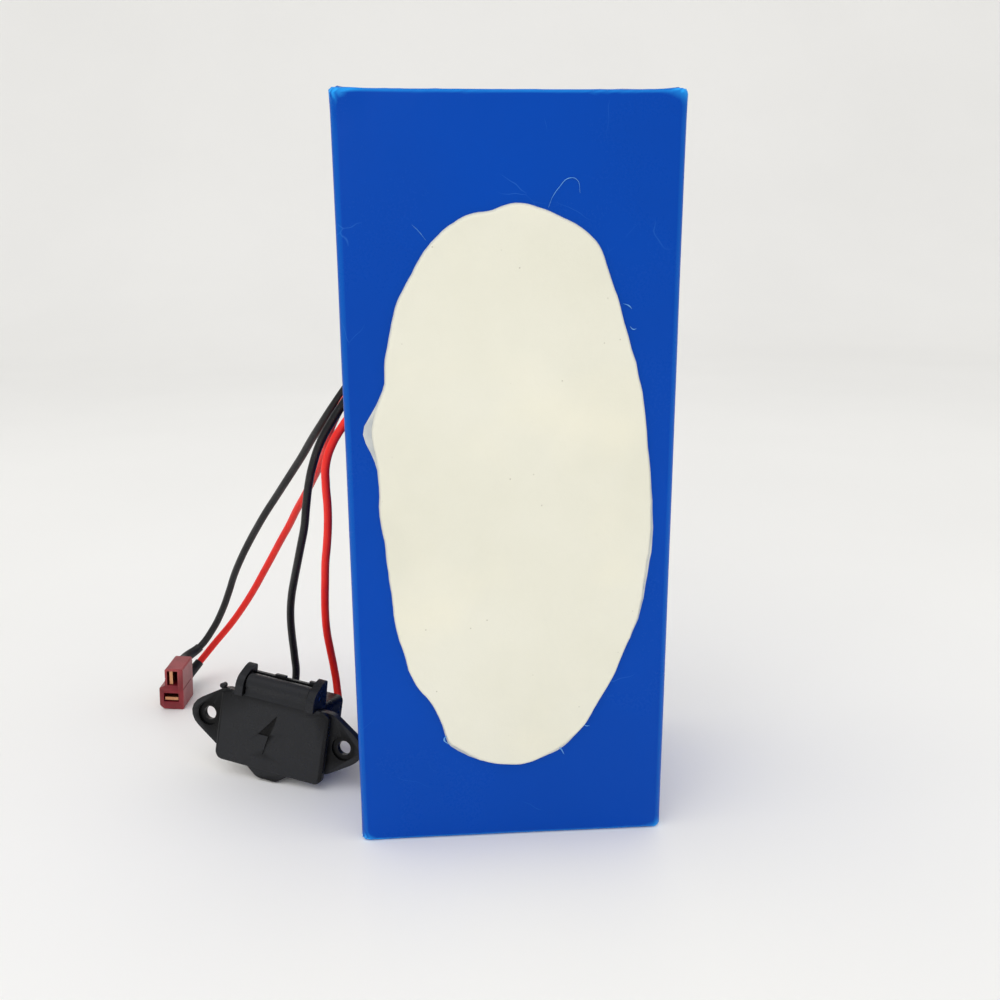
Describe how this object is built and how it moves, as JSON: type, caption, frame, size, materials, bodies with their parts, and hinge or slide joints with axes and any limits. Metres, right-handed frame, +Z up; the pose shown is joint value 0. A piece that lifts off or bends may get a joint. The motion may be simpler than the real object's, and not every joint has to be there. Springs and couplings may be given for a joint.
{
  "type": "battery pack",
  "caption": "Upright shrink-wrapped lithium-ion battery pack with an adhesive pad on its front, a discharge plug and a charging port with a hinged lid on flexible leads.",
  "frame": {"origin": "on the floor under the middle of the wrapped pack, adhesive pad included, without the free leads and what is on them", "axes": "+Z up along the pack's height, +Y from the front face with the pad to the back, +X to the right seen from the front"},
  "size_m": [0.1706, 0.1252, 0.21],
  "materials": {
    "film": "blue heat-shrink film, softly glossy",
    "mastic": "cream adhesive mastic, satin",
    "epoxy_board": "green glass-epoxy sheet",
    "foam": "black closed-cell foam",
    "fish_paper": "tan insulating paper",
    "holder_plastic": "black moulded plastic",
    "cell_can": "green sleeve over a steel can",
    "nickel": "nickel strip, satin",
    "circuit_board": "green solder mask",
    "black_epoxy": "black moulded epoxy",
    "aluminium": "extruded, satin",
    "shunt_metal": "tinned alloy",
    "capacitor_ceramic": "tan ceramic",
    "nylon": "off-white nylon",
    "white_insulation": "white wire insulation",
    "red_insulation": "red wire insulation",
    "black_insulation": "black wire insulation",
    "sealant": "cream sealant",
    "plug_nylon": "dark red nylon",
    "contact_brass": "plated brass",
    "sleeve": "black heat-shrink sleeve",
    "port_plastic": "black moulded plastic, fine grain",
    "spring_steel": "bright steel",
    "seal_rubber": "black silicone"
  },
  "bodies": {
    "pack": {"shrink_wrap": "film", "adhesive_pad": "mastic", "front_board": "epoxy_board", "rear_board": "epoxy_board", "side_board_left": "epoxy_board", "side_board_right": "epoxy_board", "top_board": "epoxy_board", "bottom_board": "epoxy_board", "front_foam": "foam", "rear_foam": "foam", "top_foam": "foam", "bottom_foam": "foam", "front_paper": "fish_paper", "rear_paper": "fish_paper", "front_cell_holder": "holder_plastic", "rear_cell_holder": "holder_plastic", "cell_row_01": "cell_can", "cell_row_02": "cell_can", "cell_row_03": "cell_can", "cell_row_04": "cell_can", "cell_row_05": "cell_can", "cell_row_06": "cell_can", "cell_row_07": "cell_can", "cell_row_08": "cell_can", "cell_row_09": "cell_can", "cell_row_10": "cell_can", "front_nickel_strips": "nickel", "rear_nickel_strips": "nickel", "negative_end_strip": "nickel", "positive_end_strip": "nickel", "bms_paper": "fish_paper", "bms_board": "circuit_board", "bms_transistors": "black_epoxy", "bms_heat_sink": "aluminium", "bms_shunts": "shunt_metal", "bms_chips": "black_epoxy", "bms_capacitors": "capacitor_ceramic", "balance_socket": "nylon", "balance_plug": "nylon", "balance_wires": "white_insulation", "pack_negative_lead": "black_insulation", "pack_positive_lead": "red_insulation", "lead_exit_seal": "sealant", "discharge_lead_black": "black_insulation", "discharge_lead_red": "red_insulation", "charge_lead_black": "black_insulation", "charge_lead_red": "red_insulation", "plug_housing": "plug_nylon", "plug_contact_upper": "contact_brass", "plug_contact_lower": "contact_brass", "plug_sleeve_upper": "sleeve", "plug_sleeve_lower": "sleeve", "port_housing": "port_plastic", "port_hinge_pin": "spring_steel", "port_spring": "spring_steel", "port_pins": "contact_brass", "port_terminal_sleeves": "sleeve"},
    "lid": {"port_lid": "port_plastic", "port_seal": "seal_rubber"}
  },
  "joints": [
    {"name": "port_lid_hinge", "type": "hinge", "parent": "pack", "child": "lid", "pos_m": [-0.07265, 0.008, 0.02987], "axis": [-0.9161, 0.3898, 0.0941], "range_deg": [0, 110], "stiffness_Nm_per_rad": 0.01, "springref_deg": -57.3}
  ]
}
